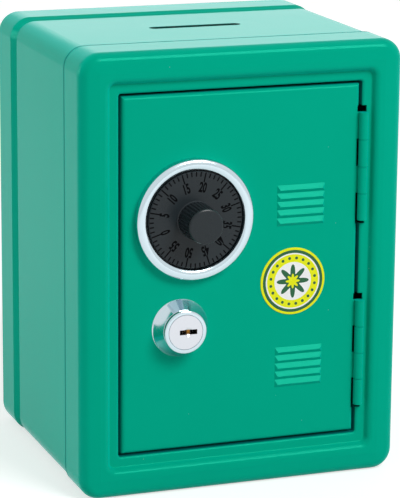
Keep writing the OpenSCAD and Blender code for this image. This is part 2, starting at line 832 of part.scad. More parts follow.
module lock_plug() {
    groove = chamfer / 2;
    color(chrome) door_view() at_lock() difference() {
        union() {
            rotate_extrude() polygon([[0, lock_out - plug_face_t], [plug_face_r, lock_out - plug_face_t],
                [plug_face_r, lock_out - groove], [plug_face_r - groove, lock_out], [0, lock_out]]);
            translate([0, 0, cam_z]) cylinder(lock_out - plug_face_t - cam_z, plug_r, plug_r);
            translate([-tenon / 2, -tenon / 2, cam_z - cam_t]) cube([tenon, tenon, cam_t]);
        }
        translate([keyway_x - keyway_w / 2, -keyway_h / 2, lock_out - keyway_l])
            cube([keyway_w, keyway_h, keyway_l + over]);
        translate([keyway_x, 0, lock_out - keyway_dimple])
            cylinder(2 * keyway_dimple, keyway_h / 2, 2 * keyway_round_r - keyway_h / 2);
        wafers();
        translate([0, 0, cam_z - cam_t - over])
            cylinder(cam_t + over + cam_screw_bite + end_play, cam_screw_r, cam_screw_r);
    }
}

module lock_wafers() {
    color(brass) door_view() at_lock() wafers();
}

module lock_cam() {
    tab_l = cam_z - cam_t - (rear_z - wheel_t) + play;
    tab_w = 6;
    color(steel) door_view() at_lock() {
        difference() {
            translate([0, 0, cam_z - cam_t]) linear_extrude(cam_t) {
                circle(tenon);
                translate([0, -cam_w / 2]) square([cam_len - 1, cam_w]);
                translate([0, -tab_w / 2]) square([cam_len, tab_w]);
            }
            translate([-tenon / 2, -tenon / 2, cam_z - cam_t - over])
                cube([tenon, tenon, cam_t + 2 * over]);
        }
        translate([cam_len - cam_t, -tab_w / 2, cam_z - cam_t - tab_l]) cube([cam_t, tab_w, tab_l]);
    }
}

module cam_washer() {
    color(steel) door_view() at_lock()
        tube(cam_z - cam_t - cam_washer_t, cam_z - cam_t, cam_washer_r, cam_screw_r);
}

module cam_screw() {
    color(steel) door_view() at_lock() translate([0, 0, cam_z - cam_t - cam_washer_t]) {
        cylinder(cam_washer_t + cam_t + cam_screw_bite, cam_screw_r, cam_screw_r);
        screw_head(cam_screw_head_r, cam_screw_head_t);
    }
}

front_frame();
case_wrap();
back_panel();
hinge_pin_upper();
hinge_pin_lower();
door_panel();
label_disc();
dial_ring();
spindle_bush();
wheel_housing();
housing_cover();
cover_screws();
lock_rosette();
lock_body();
lock_nut();
dial();
dial_spindle();
spindle_sleeve();
drive_wheel();
spacer_washers();
retaining_clip();
middle_wheel();
rear_wheel();
lock_plug();
lock_wafers();
lock_cam();
cam_washer();
cam_screw();
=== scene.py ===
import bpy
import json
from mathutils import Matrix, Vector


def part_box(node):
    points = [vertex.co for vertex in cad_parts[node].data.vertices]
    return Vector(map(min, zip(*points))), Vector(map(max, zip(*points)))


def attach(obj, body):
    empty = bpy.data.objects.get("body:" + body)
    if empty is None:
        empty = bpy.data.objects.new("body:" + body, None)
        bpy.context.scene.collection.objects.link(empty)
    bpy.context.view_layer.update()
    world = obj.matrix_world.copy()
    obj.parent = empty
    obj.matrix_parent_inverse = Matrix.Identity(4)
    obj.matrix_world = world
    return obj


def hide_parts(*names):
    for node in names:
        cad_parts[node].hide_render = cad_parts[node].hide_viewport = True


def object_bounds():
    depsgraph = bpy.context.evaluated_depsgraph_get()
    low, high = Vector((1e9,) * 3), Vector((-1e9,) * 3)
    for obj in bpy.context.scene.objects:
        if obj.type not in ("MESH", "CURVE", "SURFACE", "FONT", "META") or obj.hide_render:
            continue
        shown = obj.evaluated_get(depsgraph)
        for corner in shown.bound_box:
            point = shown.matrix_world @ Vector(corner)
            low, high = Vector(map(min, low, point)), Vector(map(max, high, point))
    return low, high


bl_info = {
    "name": "Combination Lock Coin Bank",
    "version": (1, 0, 0),
    "blender": (4, 5, 0),
    "location": "View3D > Sidebar > Coin Bank",
    "description": "Finishes the packed coin bank with enamel, chrome, dial markings, a label and a studio",
    "category": "Object",
}

import json
import math

import bmesh
import bpy
from bpy.props import FloatProperty, FloatVectorProperty, IntProperty, PointerProperty
from mathutils import Matrix, Vector

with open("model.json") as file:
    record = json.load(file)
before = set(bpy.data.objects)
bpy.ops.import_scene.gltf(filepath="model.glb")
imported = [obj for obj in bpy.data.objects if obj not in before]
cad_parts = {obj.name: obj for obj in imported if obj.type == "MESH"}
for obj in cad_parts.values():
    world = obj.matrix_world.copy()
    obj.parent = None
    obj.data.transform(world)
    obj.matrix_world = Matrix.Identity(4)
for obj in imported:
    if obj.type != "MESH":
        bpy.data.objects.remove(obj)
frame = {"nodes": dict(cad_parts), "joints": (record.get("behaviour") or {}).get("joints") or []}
CAD_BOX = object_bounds()

MM = 0.001
JOINTS = {joint["name"]: Vector(joint["pos_m"]) for joint in frame["joints"]}
DIAL_AXIS = JOINTS["dial_spin"]
LOCK_AXIS = JOINTS["key_turn"]
# The door's face, along Y
DOOR_FACE = DIAL_AXIS.y
# The dial's face, above the door's
DIAL_FACE = 3.1 * MM
# The shaded line where the front frame's flange ends on the case's sides, along Y
SEAM = -29.45 * MM


def from_srgb(red, green, blue):
    """A linear colour from the three screen values, 0 to 255."""
    return tuple(
        v / 12.92 if v <= 0.04045 else ((v + 0.055) / 1.055) ** 2.4
        for v in (red / 255, green / 255, blue / 255)
    )


def colour_property(name, text, screen_values):
    return FloatVectorProperty(
        name=name,
        description=text,
        subtype="COLOR",
        size=3,
        min=0.0,
        max=1.0,
        default=from_srgb(*screen_values),
    )


def length_property(name, text, millimetres):
    return FloatProperty(
        name=name,
        description=text,
        unit="LENGTH",
        default=millimetres * MM,
        min=0.0,
        max=200.0 * MM,
        precision=5,
    )


def count_property(name, text, default, low):
    return IntProperty(name=name, description=text, default=default, min=low)


def light_property(name, text, default, **options):
    return FloatProperty(name=name, description=text, default=default, min=0.0, **options)


class EnamelSettings(bpy.types.PropertyGroup):
    colour: colour_property("Colour", "Colour of the enamel on the case and the door", (0, 166, 130))
    # Painted shade: this dark colour stands for the shade in the case's gaps and inside it, not for another
    # coat
    inside: colour_property("Inside", "Colour of the thin coat inside the case", (6, 62, 50))
    seam: colour_property("Seam", "Colour of the shaded line along the seams", (0, 92, 74))
    peel_size: length_property("Peel size", "Distance between the low waves in the dried enamel", 1.3)
    peel_depth: length_property("Peel depth", "Height of the low waves in the dried enamel", 0.0035)
    sheet_wave: length_property("Sheet wave", "Height of the slow waves in the pressed sheet", 0.05)


class MetalSettings(bpy.types.PropertyGroup):
    chrome: colour_property("Chrome", "Colour of the bright plating", (198, 215, 222))
    face: colour_property("Lock face", "Colour of the turned face of the key lock", (208, 211, 217))
    steel: colour_property("Steel", "Colour of the zinc plated steel", (176, 178, 180))
    brass: colour_property("Brass", "Colour of the wafers and the bush", (150, 104, 44))


class WorksSettings(bpy.types.PropertyGroup):
    wheels: colour_property("Wheels", "Colour of the combination wheels", (46, 47, 50))
    housing: colour_property("Housing", "Colour of the wheels' housing and its cover", (120, 122, 124))


class DialSettings(bpy.types.PropertyGroup):
    plastic: colour_property("Plastic", "Colour of the dial and its knob", (33, 41, 45))
    ink: colour_property("Ink", "Colour of the numbers and the marks", (5, 6, 8))
    number_height: length_property("Number height", "Height of a number on the dial", 3.7)
    number_radius: length_property("Number radius", "From the dial's axis to a number's middle", 12.6)
    number_weight: length_property("Number weight", "How much bolder than plain the numbers are", 0.19)
    number_width: FloatProperty(
        name="Number width",
        description="Width of the numbers as a share of the font's own",
        default=0.56,
        min=0.1,
        max=1.0,
    )
    number_count: count_property("Numbers", "How many numbers the dial has", 12, 2)
    number_step: count_property("Step", "Difference from one number to the next", 5, 1)
    top_number: count_property("Top number", "The number nearest to the top", 20, 0)
    mark_count: count_property("Marks", "How many marks the dial has", 60, 1)
    mark_reach: length_property("Mark reach", "From the dial's axis to the outer end of a mark", 18.5)
    mark_width: length_property("Mark width", "Width of a mark", 0.5)
    long_mark: length_property("Long mark", "Length of a mark at a number", 3.7)
    short_mark: length_property("Short mark", "Length of a mark between two numbers", 1.7)
    mark_turn: FloatProperty(
        name="Turn",
        description="Angle from the top to the first mark, clockwise",
        subtype="ANGLE",
        default=math.radians(12.3),
    )


class LabelSettings(bpy.types.PropertyGroup):
    ground: colour_property("Ground", "Ground colour of the label", (240, 244, 0))
    dark: colour_property("Dark", "Dark colour of the label's design", (38, 100, 62))
    light: colour_property("Light", "Light colour of the label's design", (250, 251, 250))


class StageSettings(bpy.types.PropertyGroup):
    floor: colour_property("Floor", "Colour of the floor", (202, 203, 203))
    glow: light_property("Floor glow", "Light of its own that keeps the floor white", 0.6)
    front_power: light_property("Front light", "Power of the soft light in front", 13.0, unit="POWER")
    side_power: light_property("Side light", "Power of the panel at the left", 10.0, unit="POWER")
    back_power: light_property("Back light", "Power of the panel behind", 1.25, unit="POWER")
    fill: light_property("Fill", "Strength of the light from all round", 0.3)


class CoinBankSettings(bpy.types.PropertyGroup):
    enamel: PointerProperty(type=EnamelSettings)
    metal: PointerProperty(type=MetalSettings)
    works: PointerProperty(type=WorksSettings)
    dial: PointerProperty(type=DialSettings)
    label: PointerProperty(type=LabelSettings)
    stage: PointerProperty(type=StageSettings)


# Node trees

SOCKETS = {"value": "NodeSocketFloat", "colour": "NodeSocketColor", "vector": "NodeSocketVector"}


def node(tree, kind, inputs=None, **settings):
    """Adds a node, sets its options, and sets or links the inputs that are given."""
    made = tree.nodes.new("ShaderNode" + kind)
    for name, value in settings.items():
        setattr(made, name, value)
    for name, value in (inputs or {}).items():
        socket = made.inputs[name]
        if isinstance(value, bpy.types.NodeSocket):
            tree.links.new(value, socket)
        else:
            socket.default_value = value
    return made


def maths(tree, operation, *values):
    """A Math node's output."""
    return node(tree, "Math", dict(enumerate(values)), operation=operation).outputs[0]


def length_of(tree, first, second):
    """The length of a line from its two parts."""
    squares = [maths(tree, "MULTIPLY", part, part) for part in (first, second)]
    return maths(tree, "SQRT", maths(tree, "ADD", *squares))


def blend_colours(tree, factor, first, second, how="MIX"):
    """A colour Mix node's output."""
    made = node(tree, "Mix", data_type="RGBA", blend_type=how)
    for socket, value in ((made.inputs[0], factor), (made.inputs[6], first), (made.inputs[7], second)):
        if isinstance(value, bpy.types.NodeSocket):
            tree.links.new(value, socket)
        elif isinstance(value, tuple):
            socket.default_value = (*value[:3], 1.0)
        else:
            socket.default_value = value
    return made.outputs[2]


def node_group(name, inputs, outputs, build):
    """A shader node group, built once. inputs holds (name, kind, default), outputs (name, kind)."""
    if name in bpy.data.node_groups:
        return bpy.data.node_groups[name]
    tree = bpy.data.node_groups.new(name, "ShaderNodeTree")
    for label, kind, default in inputs:
        socket = tree.interface.new_socket(name=label, in_out="INPUT", socket_type=SOCKETS[kind])
        if default is not None:
            socket.default_value = default
    for label, kind in outputs:
        tree.interface.new_socket(name=label, in_out="OUTPUT", socket_type=SOCKETS[kind])
    start = tree.nodes.new("NodeGroupInput").outputs
    end = tree.nodes.new("NodeGroupOutput").inputs
    for label, socket in build(tree, start).items():
        tree.links.new(socket, end[label])
    return tree


def place(tree, group, **inputs):
    """Places a node group in a material. Underscores in an input's name stand for blanks."""
    made = tree.nodes.new("ShaderNodeGroup")
    made.node_tree = group
    for name, value in inputs.items():
        socket = made.inputs[name.replace("_", " ")]
        if isinstance(value, bpy.types.NodeSocket):
            tree.links.new(value, socket)
        elif isinstance(value, tuple):
            socket.default_value = (*value[:3], 1.0) if socket.type == "RGBA" else value
        else:
            socket.default_value = value
    return made.outputs


def object_point(tree):
    return node(tree, "TexCoord").outputs["Object"]


def away_from(tree, centre):
    """The way from a centre to the shaded point."""
    return node(tree, "VectorMath", {0: object_point(tree), 1: centre}, operation="SUBTRACT").outputs[0]


def drift_group():
    """Slow changes of colour and of roughness over a surface."""

    def build(tree, given):
        scale = maths(tree, "DIVIDE", 1.0, given["Size"])
        cloud = node(
            tree,
            "TexNoise",
            {"Vector": object_point(tree), "Scale": scale, "Detail": 4.0, "Roughness": 0.6},
        ).outputs["Fac"]
        centred = maths(tree, "MULTIPLY_ADD", cloud, 2.0, -1.0)
        light = maths(tree, "MULTIPLY_ADD", centred, given["Spread"], 1.0)
        tinted = node(tree, "VectorMath", {0: given["Colour"], "Scale": light}, operation="SCALE")
        rough = node(
            tree,
            "MapRange",
            {
                "Value": cloud,
                "From Min": 0.3,
                "From Max": 0.7,
                "To Min": given["Rough Low"],
                "To Max": given["Rough High"],
            },
        )
        return {"Colour": tinted.outputs[0], "Roughness": rough.outputs[0]}

    return node_group(
        "Surface Drift",
        [
            ("Colour", "colour", (0.5, 0.5, 0.5, 1.0)),
            ("Spread", "value", 0.05),
            ("Size", "value", 0.03),
            ("Rough Low", "value", 0.2),
            ("Rough High", "value", 0.3),
        ],
        [("Colour", "colour"), ("Roughness", "value")],
        build,
    )


def bump(tree, height, depth):
    return node(tree, "Bump", {"Strength": 1.0, "Distance": depth, "Height": height})


def relief_group():
    """Fine grain laid over slow waves, as a normal."""

    def build(tree, given):
        point = object_point(tree)
        slow_scale = maths(tree, "DIVIDE", 1.0, given["Wave Size"])
        fine_scale = maths(tree, "DIVIDE", 1.0, given["Grain Size"])
        slow = node(tree, "TexNoise", {"Vector": point, "Scale": slow_scale, "Detail": 1.0})
        fine = node(tree, "TexNoise", {"Vector": point, "Scale": fine_scale, "Detail": 2.0})
        waves = bump(tree, slow.outputs["Fac"], given["Wave Depth"])
        grain = bump(tree, fine.outputs["Fac"], given["Grain Depth"])
        tree.links.new(waves.outputs[0], grain.inputs["Normal"])
        return {"Normal": grain.outputs[0]}

    return node_group(
        "Surface Relief",
        [
            ("Wave Size", "value", 0.04),
            ("Wave Depth", "value", 0.00002),
            ("Grain Size", "value", 0.0012),
            ("Grain Depth", "value", 0.000003),
        ],
        [("Normal", "vector")],
        build,
    )


def turned_group():
    """Rings left by a lathe about an axis along Y, as a height."""

    def build(tree, given):
        parts = node(tree, "SeparateXYZ", {"Vector": away_from(tree, given["Centre"])}).outputs
        radius = length_of(tree, parts["X"], parts["Z"])
        scale = maths(tree, "DIVIDE", 1.0, given["Pitch"])
        rings = node(tree, "TexNoise", {"W": radius, "Scale": scale, "Detail": 3.0}, noise_dimensions="1D")
        return {"Height": rings.outputs["Fac"]}

    return node_group(
        "Turned Marks",
        [("Centre", "vector", None), ("Pitch", "value", 0.0004)],
        [("Height", "value")],
        build,
    )


def specks_group():
    """A mask of sparse small specks, for dust and for pits."""

    def build(tree, given):
        scale = maths(tree, "DIVIDE", 1.0, given["Spacing"])
        cells = node(tree, "TexVoronoi", {"Vector": object_point(tree), "Scale": scale, "Randomness": 1.0})
        chosen = node(tree, "TexWhiteNoise", {"Vector": cells.outputs["Position"]}, noise_dimensions="3D")
        near = maths(tree, "LESS_THAN", cells.outputs["Distance"], given["Size"])
        picked = maths(tree, "LESS_THAN", chosen.outputs["Value"], given["Share"])
        return {"Mask": maths(tree, "MULTIPLY", near, picked)}

    return node_group(
        "Specks",
        [("Spacing", "value", 0.003), ("Size", "value", 0.05), ("Share", "value", 0.3)],
        [("Mask", "value")],
        build,
    )


def line_group():
    """A soft line across a surface at one place along Y, as a mask."""

    def build(tree, given):
        parts = node(tree, "SeparateXYZ", {"Vector": object_point(tree)}).outputs
        away = maths(tree, "ABSOLUTE", maths(tree, "SUBTRACT", parts["Y"], given["Place"]))
        line = node(
            tree,
            "MapRange",
            {"Value": away, "From Min": 0.0, "From Max": given["Width"], "To Min": 1.0, "To Max": 0.0},
            interpolation_type="SMOOTHSTEP",
        )
        return {"Mask": line.outputs[0]}

    return node_group(
        "Soft Line",
        [("Place", "value", 0.0), ("Width", "value", 0.001)],
        [("Mask", "value")],
        build,
    )


def inner_group():
    """A mask of the faces that look towards the middle of the case, behind a place along Y, for painted
    shade.
    """

    def build(tree, given):
        normal = node(tree, "TexCoord").outputs["Normal"]
        outward = node(
            tree,
            "VectorMath",
            {0: normal, 1: away_from(tree, given["Centre"])},
            operation="DOT_PRODUCT",
        ).outputs["Value"]
        inward = node(tree, "MapRange", {"Value": outward, "From Min": -2.0 * MM, "From Max": -8.0 * MM})
        along = node(tree, "SeparateXYZ", {"Vector": object_point(tree)}).outputs["Y"]
        behind = maths(tree, "GREATER_THAN", along, given["Start"])
        return {"Mask": maths(tree, "MULTIPLY", inward.outputs[0], behind)}

    return node_group(
        "Inner Shade Faces",
        [("Centre", "vector", None), ("Start", "value", 0.0)],
        [("Mask", "value")],
        build,
    )


def new_material(name):
    material = bpy.data.materials.new(name)
    material.use_nodes = True
    tree = material.node_tree
    tree.nodes.clear()
    shader = tree.nodes.new("ShaderNodeBsdfPrincipled")
    output = tree.nodes.new("ShaderNodeOutputMaterial")
    tree.links.new(shader.outputs[0], output.inputs[0])
    return material, tree, shader


def set_inputs(shader, **values):
    for name, value in values.items():
        shader.inputs[name.replace("_", " ")].default_value = value


def wire_surface(tree, shader, colour, roughness, normal):
    for name, socket in (("Base Color", colour), ("Roughness", roughness), ("Normal", normal)):
        tree.links.new(socket, shader.inputs[name])


def settings():
    return bpy.context.scene.coin_bank


def once(name, build):
    """A material by its name, built the first time it is asked for."""
    return bpy.data.materials.get(name) or build(name)


def enamel():
    """Green enamel with painted shade inside the case, a shaded line along the seam and a little dust."""

    def build(name):
        values = settings().enamel
        material, tree, shader = new_material(name)
        set_inputs(shader, IOR=1.125, Metallic=0.03, Specular_Tint=(0.25, 1.0, 1.0, 1.0))
        set_inputs(shader, Sheen_Weight=0.4, Sheen_Roughness=0.7, Sheen_Tint=(0.0, 1.0, 1.0, 1.0))
        drift = place(
            tree,
            drift_group(),
            Colour=tuple(values.colour),
            Spread=0.035,
            Size=45.0 * MM,
            Rough_Low=0.1,
            Rough_High=0.17,
        )
        relief = place(
            tree,
            relief_group(),
            Wave_Size=35.0 * MM,
            Wave_Depth=values.sheet_wave,
            Grain_Size=values.peel_size,
            Grain_Depth=values.peel_depth,
        )
        low, high = CAD_BOX
        centre = tuple((a + b) / 2 for a, b in zip(low, high))
        # Painted shade: the faces inside the case and in the gaps round the door take the dark inside colour
        inner = place(tree, inner_group(), Centre=centre, Start=DOOR_FACE + 0.7 * MM)
        colour = blend_colours(tree, inner["Mask"], drift["Colour"], tuple(values.inside))
        seam = place(tree, line_group(), Place=SEAM, Width=1.5 * MM)["Mask"]
        colour = blend_colours(tree, seam, colour, tuple(values.seam))
        rough = node(tree, "MapRange", {"Value": seam, "To Min": drift["Roughness"], "To Max": 0.9})
        specks = place(tree, specks_group(), Spacing=4.5 * MM, Size=0.035, Share=0.12)["Mask"]
        dust = maths(tree, "MULTIPLY", specks, 0.35)
        colour = blend_colours(tree, dust, colour, (0.55, 0.75, 0.7))
        wire_surface(tree, shader, colour, rough.outputs[0], relief["Normal"])
        return material

    return once("enamel green", build)


def metal(name, colour, rough, centre=None, spread=0.02):
    """Plated or bare metal. A centre gives it the rings of a lathe."""
    pitch = 0.3 * MM
    depth = 0.0015 * MM

    def build(name):
        material, tree, shader = new_material(name)
        set_inputs(shader, Metallic=1.0)
        drift = place(
            tree,
            drift_group(),
            Colour=tuple(colour),
            Spread=spread,
            Size=6.0 * MM,
            Rough_Low=rough[0],
            Rough_High=rough[1],
        )
        if centre is None:
            relief = place(
                tree,
                relief_group(),
                Wave_Size=8.0 * MM,
                Wave_Depth=depth * 3,
                Grain_Size=pitch,
                Grain_Depth=depth,
            )
            normal = relief["Normal"]
        else:
            rings = place(tree, turned_group(), Centre=tuple(centre), Pitch=pitch)
            normal = bump(tree, rings["Height"], depth).outputs[0]
        wire_surface(tree, shader, drift["Colour"], drift["Roughness"], normal)
        return material

    return once(name, build)


def zinc_plate():
    return metal("zinc plated steel", settings().metal.steel, (0.28, 0.42), spread=0.06)


def plastic(name, colour, rough, ior=1.45):
    """Moulded plastic or printed ink, with a fine grain."""
    depth = 0.006 * MM

    def build(name):
        material, tree, shader = new_material(name)
        set_inputs(shader, IOR=ior)
        drift = place(
            tree,
            drift_group(),
            Colour=tuple(colour),
            Spread=0.06,
            Size=10.0 * MM,
            Rough_Low=rough[0],
            Rough_High=rough[1],
        )
        relief = place(
            tree,
            relief_group(),
            Wave_Size=6.0 * MM,
            Wave_Depth=depth,
            Grain_Size=0.4 * MM,
            Grain_Depth=depth,
        )
        wire_surface(tree, shader, drift["Colour"], drift["Roughness"], relief["Normal"])
        return material

    return once(name, build)


# Pieces


def paint_nodes(material, *names):
    """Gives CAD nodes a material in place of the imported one."""
    for name in names:
        mesh = frame["nodes"][name].data
        mesh.materials.clear()
        mesh.materials.append(material)


def finish_piece(bm, name, material, body, smooth=True):
    """Makes an object of a bmesh, in place, that rides on a body and has the given material."""
    mesh = bpy.data.meshes.new(name)
    bm.to_mesh(mesh)
    bm.free()
    if smooth:
        mesh.shade_smooth()
    mesh.materials.append(material)
    piece = bpy.data.objects.new(name, mesh)
    bpy.context.scene.collection.objects.link(piece)
    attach(piece, body)
    return piece


def facing(centre):
    """The matrix that takes a drawing seen from the front, with z to the viewer, to its place."""
    return Matrix.Translation(centre) @ Matrix.Rotation(math.radians(90), 4, "X")


def rounded(radius, height, steps):
    """Points of a rounded edge. Each step is a way in from the radius and a drop from the height, in mm."""
    return [(radius - inward, height - drop) for inward, drop in steps]


def turn(bm, profile, across, up, steps=128):
    """Adds a closed profile turned about an axis through the door.

    The profile holds radii, and heights above the door's face, in mm.
    """
    points = [bm.verts.new((radius * MM, 0.0, height * MM)) for radius, height in profile]
    edges = [bm.edges.new((a, b)) for a, b in zip(points, points[1:] + points[:1])]
    before = set(bm.verts)
    bmesh.ops.spin(
        bm,
        geom=points + edges,
        cent=(0.0, 0.0, 0.0),
        axis=(0.0, 0.0, 1.0),
        dvec=(0.0, 0.0, 0.0),
        angle=math.tau,
        steps=steps,
        use_merge=True,
        use_duplicate=False,
    )
    turned = points + [v for v in bm.verts if v not in before]
    bmesh.ops.transform(bm, verts=turned, matrix=facing((across, DOOR_FACE, up)))


def number_mesh(number, values):
    """A number of the dial as a mesh about its own middle, in the drawing's plane."""
    curve = bpy.data.curves.new("number", "FONT")
    curve.body = str(number)
    curve.align_x = "CENTER"
    curve.align_y = "CENTER"
    # A figure is 0.7 of the font's size high
    curve.size = values.number_height / 0.7
    curve.extrude = 0.025 * MM
    curve.offset = values.number_weight
    curve.resolution_u = 4
    text = bpy.data.objects.new("number", curve)
    bpy.context.scene.collection.objects.link(text)
    bpy.context.view_layer.update()
    mesh = bpy.data.meshes.new_from_object(text)
    bpy.data.objects.remove(text)
    bpy.data.curves.remove(curve)
    mesh.transform(Matrix.Diagonal((values.number_width, 1.0, 1.0, 1.0)))
    return mesh


class COINBANK_OT_enamel(bpy.types.Operator):
    """Enamels the case, the door and the hinge pins"""

    bl_idname = "coinbank.enamel"
    bl_label = "Enamel the Sheets"

    def execute(self, context):
        sheets = ("front_frame", "case_wrap", "back_panel", "door_panel")
        paint_nodes(enamel(), *sheets, "hinge_pin_upper", "hinge_pin_lower")
        return {"FINISHED"}


class COINBANK_OT_dial(bpy.types.Operator):
    """Finishes the dial, with its numbers and its inked marks"""

    bl_idname = "coinbank.dial"
    bl_label = "Finish the Dial"

    def execute(self, context):
        values = settings().dial
        moulded = plastic("dial plastic", values.plastic, rough=(0.24, 0.34), ior=1.33)
        paint_nodes(moulded, "dial", "spindle_sleeve")
        ink = plastic("dial ink", values.ink, rough=(0.6, 0.75), ior=1.12)
        at_dial = facing((DIAL_AXIS.x, DOOR_FACE, DIAL_AXIS.z))
        self.add_numbers(values, ink, at_dial)
        self.add_marks(values, ink, at_dial)
        return {"FINISHED"}

    def add_numbers(self, values, ink, at_dial):
        bm = bmesh.new()
        last = values.number_count * values.number_step
        for i in range(values.number_count):
            angle = values.mark_turn + i * math.tau / values.number_count
            mesh = number_mesh((values.top_number + i * values.number_step) % last, values)
            turned = Matrix.Rotation(-angle, 4, "Z")
            out = Matrix.Translation((0, values.number_radius, DIAL_FACE))
            mesh.transform(at_dial @ turned @ out)
            bm.from_mesh(mesh)
            bpy.data.meshes.remove(mesh)
        finish_piece(bm, "dial_numbers", ink, "dial", smooth=False)

    def add_marks(self, values, ink, at_dial):
        """Strips of ink that are sunk into the dial for all but a hundredth of a millimetre."""
        thick = 0.2 * MM
        middle = DIAL_FACE - 0.09 * MM
        per_number = values.mark_count // values.number_count
        bm = bmesh.new()
        for i in range(values.mark_count):
            angle = values.mark_turn + i * math.tau / values.mark_count
            length = values.short_mark if i % per_number else values.long_mark
            strip = bmesh.ops.create_cube(bm, size=1.0)["verts"]
            turned = Matrix.Rotation(-angle, 4, "Z")
            out = Matrix.Translation((0, values.mark_reach - length / 2, middle))
            shape = Matrix.Diagonal((values.mark_width, length, thick, 1.0))
            bmesh.ops.transform(bm, verts=strip, matrix=at_dial @ turned @ out @ shape)
        finish_piece(bm, "dial_marks", ink, "dial", smooth=False)


class COINBANK_OT_ring(bpy.types.Operator):
    """Makes the polished ring round the dial"""

    bl_idname = "coinbank.ring"
    bl_label = "Make the Ring"

    def execute(self, context):
        values = settings().metal
        low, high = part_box("dial_ring")
        outer = (high[0] - low[0]) / 2 / MM
        crown = (DOOR_FACE - low[1]) / MM
        # The spigot sits in the door's hole, and both edges are rounded; all in mm
        inner = 19.3
        spigot = [(inner, -0.6), (inner + 0.6, -0.6), (inner + 0.6, 0.0), (outer, 0.0)]
        outer_edge = ((0.0, 1.3), (0.06, 1.0), (0.22, 0.7), (0.5, 0.42), (0.95, 0.2), (1.5, 0.06), (2.1, 0.0))
        inner_edge = ((-1.6, 0.03), (-1.1, 0.13), (-0.7, 0.28), (-0.35, 0.52), (-0.12, 0.85), (0.0, 1.3))
        bm = bmesh.new()
        profile = spigot + rounded(outer, crown, outer_edge) + rounded(inner, crown, inner_edge)
        turn(bm, profile, DIAL_AXIS.x, DIAL_AXIS.z, steps=160)
        post = [(1.0, -1.8), (1.5, -1.8), (1.5, 2.0), (1.0, 2.0)]
        post_circle = 21.1 * MM
        for angle in (90, 195, 345):
            across = DIAL_AXIS.x + post_circle * math.cos(math.radians(angle))
            up = DIAL_AXIS.z + post_circle * math.sin(math.radians(angle))
            turn(bm, post, across, up, steps=24)
        bmesh.ops.recalc_face_normals(bm, faces=bm.faces)
        chrome = metal("bright chrome", values.chrome, (0.1, 0.16))
        ring = finish_piece(bm, "ring_crown", chrome, "door")
        ring.data.set_sharp_from_angle(angle=math.radians(35))
        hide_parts("dial_ring")
        return {"FINISHED"}


class COINBANK_OT_lock(bpy.types.Operator):
    """Finishes the key lock, its cam and its fixings"""

    bl_idname = "coinbank.lock"
    bl_label = "Finish the Key Lock"

    def execute(self, context):
        values = settings().metal
        turned = metal("turned chrome", values.face, (0.1, 0.16), centre=LOCK_AXIS)
        chrome = metal("mirror chrome", values.chrome, (0.04, 0.08))
        self.add_body(chrome)
        self.add_rosette(chrome)
        paint_nodes(turned, "lock_plug")
        paint_nodes(metal("rolled brass", values.brass, (0.25, 0.35)), "lock_wafers", "spindle_bush")
        paint_nodes(zinc_plate(), "lock_nut", "lock_cam", "cam_washer", "cam_screw")
        return {"FINISHED"}

    def turn_piece(self, name, profile, chrome, node_name):
        bm = bmesh.new()
        turn(bm, profile, LOCK_AXIS.x, LOCK_AXIS.z)
        bmesh.ops.recalc_face_normals(bm, faces=bm.faces)
        piece = finish_piece(bm, name, chrome, "door")
        piece.data.set_sharp_from_angle(angle=math.radians(28))
        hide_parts(node_name)

    def add_rosette(self, chrome):
        """The flared rosette round the lock, steeper towards the neck and hollow behind its lip."""
        low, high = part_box("lock_rosette")
        outer = (high[0] - low[0]) / 2 / MM
        # Radius and height of the flare's two ends, and four times its hollow at the middle, in mm
        foot = Vector((outer - 0.15, 0.3))
        lip = Vector((8.15, 4.7))
        bow = 0.4
        steps = 12
        flare = []
        for i in range(steps + 1):
            share = i / steps
            radius, height = foot.lerp(lip, share)
            flare.append((radius - bow * share * (1 - share), height))
        rim = [(7.1, 0.0), (outer, 0.0), (outer, 0.15)]
        hollow = [(8.03, 4.77), (7.9, 4.65), (7.45, 1.0), (7.1, 1.0)]
        self.turn_piece("rosette_flare", rim + flare + hollow, chrome, "lock_rosette")

    def add_body(self, chrome):
        """The lock's body: a head with a rounded rim, a neck and a threaded barrel."""
        low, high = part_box("lock_body")
        face = (DOOR_FACE - low[1]) / MM
        back = (DOOR_FACE - high[1]) / MM
        radius = (high[0] - low[0]) / 2 / MM
        # Radii in mm: the plug's bore, its face's seat, the thread's crests and roots, and the neck
        bore, seat, barrel, root, neck = 5.05, 6.85, 7.0, 6.7, 7.6
        pitch = 0.75
        thread = []
        ridge = back + 0.5
        while ridge < 4.0:
            thread += [(root, ridge), (barrel, ridge + 0.3), (barrel, ridge + 0.4), (root, ridge + 0.7)]
            ridge += pitch
        profile = [(bore, back), (root - 0.1, back), (root, back + 0.1), *thread, (barrel, 4.8), (neck, 4.8)]
        profile += [(neck, face - 1.5), (neck + 0.15, face - 1.35)]
        rim = ((0.15, 1.1), (0.0, 0.95), (0.0, 0.5), (0.06, 0.3), (0.22, 0.14), (0.5, 0.04), (0.8, 0.0))
        profile += rounded(radius, face, rim)
        profile += [(seat + 0.15, face), (seat, face - 0.15), (seat, face - 1.05), (bore, face - 1.05)]
        self.turn_piece("lock_head", profile, chrome, "lock_body")


class COINBANK_OT_works(bpy.types.Operator):
    """Finishes the wheels, the spindle and the housing"""

    bl_idname = "coinbank.works"
    bl_label = "Finish the Works"

    def execute(self, context):
        paint_nodes(zinc_plate(), "dial_spindle", "spacer_washers", "retaining_clip", "cover_screws")
        values = settings().works
        wheels = plastic("wheel plastic", values.wheels, rough=(0.4, 0.55))
        paint_nodes(wheels, "drive_wheel", "middle_wheel", "rear_wheel")
        housing = plastic("housing plastic", values.housing, rough=(0.45, 0.6))
        paint_nodes(housing, "wheel_housing", "housing_cover")
        return {"FINISHED"}


